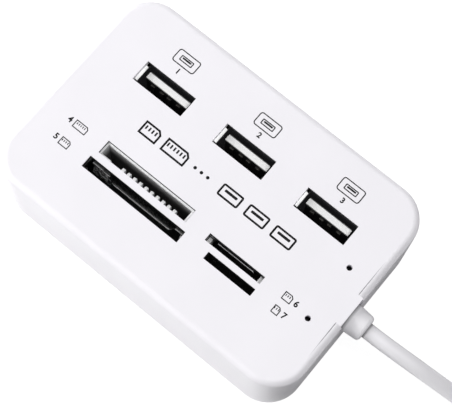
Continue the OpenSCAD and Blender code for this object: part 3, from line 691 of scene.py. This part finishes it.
class HUB_OT_card_sockets(bpy.types.Operator):
    """Finish the four card sockets"""

    bl_idname = "hub.card_sockets"
    bl_label = "Card sockets"

    def execute(self, context):
        colours = context.scene.hub_colours
        # Painted shade: the card sheets, the comb and the pale socket go dark further down in the slots
        sheet = fade_down(plated_sheet("card sheet", colours.sheet, 0.3), TOP - 2.7 * MM, TOP - 1.6 * MM)
        give(sheet, "sd_shell", "m2_shell", "microsd_shell")
        # The guide's dark base colour stands in for the shade deep in the slot; its upturned edges and leaf
        # get painted light
        give(self.bright_edge(plated_sheet("guide sheet", (0.1, 0.1, 0.105), 0.35)), "sd_guide")
        comb = moulded_plastic("comb plastic", colours.comb, 0.1 * MM, 0.38)
        give(fade_down(comb, TOP - 5.6 * MM, TOP - 0.8 * MM, (0.1, 0.095, 0.1)), "ms_body")
        pale = moulded_plastic("socket white", (0.95, 0.95, 0.96), 0.1 * MM, 0.38)
        give(fade_down(pale, TOP - 8 * MM, TOP - 2.4 * MM), "m2_base")
        give(moulded_plastic("slider white", (0.97, 0.97, 0.97), 0.1 * MM, 0.38), "sd_slider")
        give(moulded_plastic("socket black", colours.dark, 0.1 * MM, 0.4), "sd_base", "microsd_base")
        gilt = gilt_strip("card gilt", colours.gilt)
        give(gilt, "sd_contacts", "ms_contacts", "m2_contacts", "microsd_contacts")
        return {"FINISHED"}

    def bright_edge(self, material):
        """Painted light: makes the guide's upturned edges pale and hardly metallic, as if lit, and streaks
        its sloped leaf with pale painted highlights.
        """
        tree = material.node_tree
        facing_up = axes_of(tree, "Normal")["Z"]
        flat = spread(tree, facing_up, 0, 1, (0.6, 0.9))
        sloped = spread(tree, facing_up, 0, 1, (0.1, 0.3))
        highlight_streaks = spread(tree, add_noise(tree, 0.3 * MM, 4, (0.4, 1, 1)), 0.06, 1, (0.43, 0.62))
        share = math_of(tree, "MAXIMUM", flat, multiply(tree, sloped, highlight_streaks))
        metallic = tree.nodes["Principled BSDF"].inputs["Metallic"]
        tree.links.new(spread(tree, share, 1, 0.2, (0, 1)), metallic)
        return paint_over(material, share, (0.95, 0.95, 0.95))


class HUB_OT_boards(bpy.types.Operator):
    """Finish the boards, their parts, the lamps and the wires"""

    bl_idname = "hub.boards"
    bl_label = "Boards"

    def execute(self, context):
        colours = context.scene.hub_colours
        give(solder_mask("solder mask", colours.board), "main_board", "card_board")
        give(moulded_plastic("chip epoxy", colours.dark, 0.06 * MM, 0.5), "hub_chip", "reader_chip")
        can = plated_sheet("can metal", (0.7, 0.7, 0.72), 0.25, (1, 1, 1))
        give(can, "crystal", "capacitor_1", "capacitor_2")
        give(smoky_lamp("lamp plastic", colours.lamp), "led_1", "led_2")
        give(soft_sheath("stub sheath", colours.cord), "cord_stub")
        wires = {
            "red": (0.5, 0.01, 0.01), "white": (0.8, 0.8, 0.8),
            "green": (0.01, 0.25, 0.04), "black": (0.015, 0.015, 0.015),
        }
        for number, (name, colour) in enumerate(wires.items(), 1):
            give(soft_sheath(f"{name} wire", colour), f"wire_{number}")
        return {"FINISHED"}


class HUB_OT_plug(bpy.types.Operator):
    """Finish the plug at the end of the cord"""

    bl_idname = "hub.plug"
    bl_label = "Plug"

    def execute(self, context):
        colours = context.scene.hub_colours
        give(moulded_plastic("grip plastic", colours.collar, 0.12 * MM, 0.42), "plug_grip")
        give(plated_sheet("plug sheet", (0.66, 0.66, 0.68), 0.2, (1, 1, 1)), "plug_shell")
        give(moulded_plastic("plug insulator", colours.tongue, 0.1 * MM, 0.4), "plug_insulator")
        give(gilt_strip("plug gilt", colours.gilt), "plug_contacts")
        return {"FINISHED"}


# Printed marks

def ink_plane(x, y, length, width):
    """A flat rectangle, sunk a hair into the top face."""
    clear_selection()
    bpy.ops.mesh.primitive_plane_add(size=1, location=(x, y, INK_BASE))
    plane = bpy.context.object
    plane.scale = (length, width, 1)
    bpy.ops.object.transform_apply(location=True, rotation=True, scale=True)
    return plane


def raise_ink(plane, height):
    """Gives a flat shape the thickness of the ink film."""
    bpy.ops.object.mode_set(mode="EDIT")
    bpy.ops.mesh.select_all(action="SELECT")
    bpy.ops.mesh.extrude_region_move(TRANSFORM_OT_translate={"value": (0, 0, height)})
    bpy.ops.object.mode_set(mode="OBJECT")
    return plane


def ink_bar(x, y, length, width, height, corner=0.0):
    """A filled bar with rounded corners."""
    plane = ink_plane(x, y, length, width)
    if corner:
        bpy.ops.object.mode_set(mode="EDIT")
        bpy.ops.mesh.select_all(action="SELECT")
        bpy.ops.mesh.bevel(offset=corner, segments=5, affect="VERTICES")
        bpy.ops.object.mode_set(mode="OBJECT")
    return raise_ink(plane, height)


def ink_outline(x, y, length, width, line, height, corner=0.0, cut=0.0):
    """An outline with rounded corners, or with one corner cut as on a memory card."""
    plane = ink_plane(x, y, length, width)
    bpy.ops.object.mode_set(mode="EDIT")
    bpy.ops.mesh.select_mode(type="VERT")
    if cut:
        bpy.ops.mesh.select_all(action="DESELECT")
        bpy.ops.object.mode_set(mode="OBJECT")
        for vertex in plane.data.vertices:
            vertex.select = vertex.co.x > x and vertex.co.y > y
        bpy.ops.object.mode_set(mode="EDIT")
        bpy.ops.mesh.bevel(offset=cut, segments=1, affect="VERTICES")
    if corner:
        bpy.ops.mesh.select_all(action="SELECT")
        bpy.ops.mesh.bevel(offset=corner, segments=6, affect="VERTICES")
    bpy.ops.mesh.select_mode(type="FACE")
    bpy.ops.mesh.select_all(action="SELECT")
    bpy.ops.mesh.inset(thickness=line, depth=0)
    bpy.ops.mesh.delete(type="FACE")
    bpy.ops.object.mode_set(mode="OBJECT")
    return raise_ink(plane, height)


def ink_contacts(x, y, count, step, length, width, height):
    """A row of short bars, for a card's contacts."""
    places = [x + (k - (count - 1) / 2) * step for k in range(count)]
    return [ink_bar(place, y, length, width, height) for place in places]


def ink_number(text, x, y, size, height):
    """A plain number, with its strokes thickened as in print."""
    clear_selection()
    bpy.ops.object.text_add(location=(x, y, INK_BASE))
    label = bpy.context.object
    label.data.body = text
    label.data.size = size
    label.data.align_x = "CENTER"
    label.data.align_y = "CENTER"
    label.data.extrude = height
    label.data.offset = 0.06 * MM
    label.data.resolution_u = 6
    bpy.ops.object.convert(target="MESH")
    bpy.ops.object.transform_apply(location=True, rotation=True, scale=True)
    return bpy.context.object


class HUB_OT_print(bpy.types.Operator):
    """Print a plain mark above each port and beside each slot"""

    bl_idname = "hub.print"
    bl_label = "Print"

    def execute(self, context):
        sizes, colours = context.scene.hub_sizes, context.scene.hub_colours
        ink = printed_ink("black ink", colours.ink)
        x, y = PORT_MARKS_AT
        for number in PORTS:
            step = PORT_MARK_STEP * (number - 2)
            mark = self.port_mark(sizes, str(number), (x + step) * MM, y * MM)
            settle(mark, f"port_mark_{number}", ink)
        for number, x, y, length in CARD_MARKS:
            mark = self.card_mark(sizes, str(number), x * MM, y * MM, length * MM)
            settle(mark, f"card_mark_{number}", ink)
        settle(self.large_row(sizes), "large_row", ink)
        return {"FINISHED"}

    def large_row(self, sizes):
        """Between the ports and the slots: two cards, three dots and three sockets in bold lines."""
        bold, high, y = sizes.bold_width, sizes.ink_height, 1.0 * MM
        parts = []
        for x, length in ROW_CARDS:
            parts.append(ink_outline(x * MM, y, length * MM, 3.3 * MM, bold, high, cut=0.9 * MM))
            count = round(length / 1.1)
            parts += ink_contacts(
                (x - 0.1) * MM, y + 0.35 * MM, count, 0.85 * MM, 0.38 * MM, 0.95 * MM, high)
        for x in ROW_DOTS:
            parts.append(ink_bar(x * MM, y, 0.75 * MM, 0.75 * MM, high, 0.35 * MM))
        for x in ROW_SOCKETS:
            parts.append(ink_outline(x * MM, y, 5.4 * MM, 3 * MM, bold, high, 0.5 * MM))
            parts.append(ink_bar(x * MM, y + 0.25 * MM, 3.2 * MM, 0.6 * MM, high, 0.15 * MM))
        return join(parts)

    def port_mark(self, sizes, number, x, y):
        """A rounded frame round the outline of a socket, and its number below."""
        line, high = sizes.line_width, sizes.ink_height
        return join([
            ink_outline(x, y, sizes.mark_length, sizes.mark_width, line, high, 0.65 * MM),
            ink_outline(x, y, 3.3 * MM, 1.35 * MM, line, high, 0.2 * MM),
            ink_bar(x, y + 0.12 * MM, 2.3 * MM, 0.4 * MM, high, 0.1 * MM),
            ink_number(number, x, y - 2.95 * MM, 1.75 * MM, high),
        ])

    def card_mark(self, sizes, number, x, y, length):
        """The outline of a card with one corner cut and a row of contacts, and its number beside it."""
        line, high, wide = sizes.line_width * 0.9, sizes.ink_height, 1.9 * MM
        parts = [ink_outline(x, y, length, wide, line, high, cut=0.5 * MM)]
        count = round(length / (0.65 * MM))
        parts += ink_contacts(x - 0.08 * MM, y + 0.28 * MM, count, 0.5 * MM, 0.2 * MM, 0.5 * MM, high)
        side = -1 if x < 0 else 1
        parts.append(ink_number(number, x + side * (length / 2 + 1.1 * MM), y, 1.9 * MM, high))
        return join(parts)


# Stage

class HUB_OT_stage(bpy.types.Operator):
    """Add the camera, the floor and the light"""

    bl_idname = "hub.stage"
    bl_label = "Stage"

    def execute(self, context):
        self.add_camera(context)
        self.add_floor()
        for lamp in LAMPS:
            self.add_lamp(*lamp)
        self.add_tent(context)
        context.scene.view_settings.view_transform = "Standard"
        return {"FINISHED"}

    def add_tent(self, context):
        """A white tent all round, open and dark low down at the cord's end."""
        world = bpy.data.worlds.new("tent")
        world.use_nodes = True
        tree = world.node_tree
        axes = axes_of(tree, "Generated")
        beyond = spread(tree, axes["X"], 0, 1, (0.05, 0.5))
        low_down = spread(tree, axes["Z"], 1, 0, (0.2, 0.45))
        strength = spread(tree, multiply(tree, beyond, low_down), 0.42, 0.0, (0, 1))
        tree.links.new(strength, tree.nodes["Background"].inputs["Strength"])
        tree.nodes["Background"].inputs["Color"].default_value = (1, 1, 1, 1)
        context.scene.world = world

    def add_camera(self, context):
        """The camera that took the photograph, as its own corners and edges give it."""
        data = bpy.data.cameras.new("camera")
        data.sensor_width = 36
        data.lens = CAMERA_LENS
        data.clip_start, data.clip_end = 0.01, 10
        camera = bpy.data.objects.new("camera", data)
        camera.location = CAMERA_AT
        camera.rotation_euler = [math.radians(angle) for angle in CAMERA_TURN]
        context.scene.collection.objects.link(camera)
        context.scene.camera = camera

    def add_lamp(self, name, place, size, power):
        """A square soft box that faces the hub."""
        data = bpy.data.lights.new(name, "AREA")
        data.size = size
        data.energy = power
        lamp = bpy.data.objects.new(name, data)
        lamp.location = place
        lamp.rotation_euler = (-Vector(place)).to_track_quat("-Z", "Y").to_euler()
        bpy.context.scene.collection.objects.link(lamp)

    def add_floor(self):
        """A floor that is seen as white and keeps the hub's shadow, with a painted shadow strip past the
        cord end that only bounced light and reflections see.
        """
        clear_selection()
        bpy.ops.mesh.primitive_plane_add(size=4, location=(0, 0, 0))
        floor = bpy.context.object
        floor.name = "floor"
        material, tree, shader = new_finish("floor paper", (0.5, 0.5, 0.5), 0.8)
        nodes, links = tree.nodes, tree.links
        # Painted shadow: a dark strip past the cord end, which darkens the light and reflections that reach
        # the end wall
        off_painted_shadow = distance_from(tree, axes_of(tree)["X"], 49 * MM)
        pale = spread(tree, off_painted_shadow, 0, 1, (8 * MM, 12 * MM))
        tint(tree, shader, pale, (0.12, 0.12, 0.12), (0.6, 0.6, 0.6))

        seen = nodes.new("ShaderNodeBsdfDiffuse")
        seen.inputs["Color"].default_value = (0.3, 0.3, 0.3, 1)
        glow = nodes.new("ShaderNodeEmission")
        glow.inputs["Strength"].default_value = 0.86
        both = nodes.new("ShaderNodeAddShader")
        links.new(seen.outputs[0], both.inputs[0])
        links.new(glow.outputs[0], both.inputs[1])

        path = nodes.new("ShaderNodeLightPath")
        mirrored = multiply(tree, path.outputs["Is Glossy Ray"], pale)
        looked_at = math_of(tree, "MAXIMUM", path.outputs["Is Camera Ray"], mirrored)
        choose = nodes.new("ShaderNodeMixShader")
        links.new(looked_at, choose.inputs[0])
        links.new(shader.outputs[0], choose.inputs[1])
        links.new(both.outputs[0], choose.inputs[2])
        links.new(choose.outputs[0], nodes["Material Output"].inputs["Surface"])
        floor.data.materials.append(material)


class HUB_PT_panel(bpy.types.Panel):
    """Lists the steps that dress the hub"""

    bl_idname = "HUB_PT_panel"
    bl_label = "Hub"
    bl_space_type = "VIEW_3D"
    bl_region_type = "UI"
    bl_category = "Hub"

    def draw(self, context):
        for step in STEPS:
            self.layout.operator(step.bl_idname)
        for group in (context.scene.hub_sizes, context.scene.hub_colours):
            box = self.layout.box()
            for name in group.__annotations__:
                box.prop(group, name)


STEPS = (
    HUB_OT_stage, HUB_OT_cord, HUB_OT_housing, HUB_OT_ports, HUB_OT_card_sockets,
    HUB_OT_boards, HUB_OT_plug, HUB_OT_print,
)
CLASSES = (HubSizes, HubColours, *STEPS, HUB_PT_panel)


def register():
    for entry in CLASSES:
        bpy.utils.register_class(entry)
    bpy.types.Scene.hub_sizes = PointerProperty(type=HubSizes)
    bpy.types.Scene.hub_colours = PointerProperty(type=HubColours)


def unregister():
    del bpy.types.Scene.hub_colours
    del bpy.types.Scene.hub_sizes
    for entry in reversed(CLASSES):
        bpy.utils.unregister_class(entry)


def main():
    register()
    bpy.ops.hub.stage()
    bpy.ops.hub.cord()
    bpy.ops.hub.housing()
    bpy.ops.hub.ports()
    bpy.ops.hub.card_sockets()
    bpy.ops.hub.boards()
    bpy.ops.hub.plug()
    bpy.ops.hub.print()


if __name__ == "__main__":
    main()
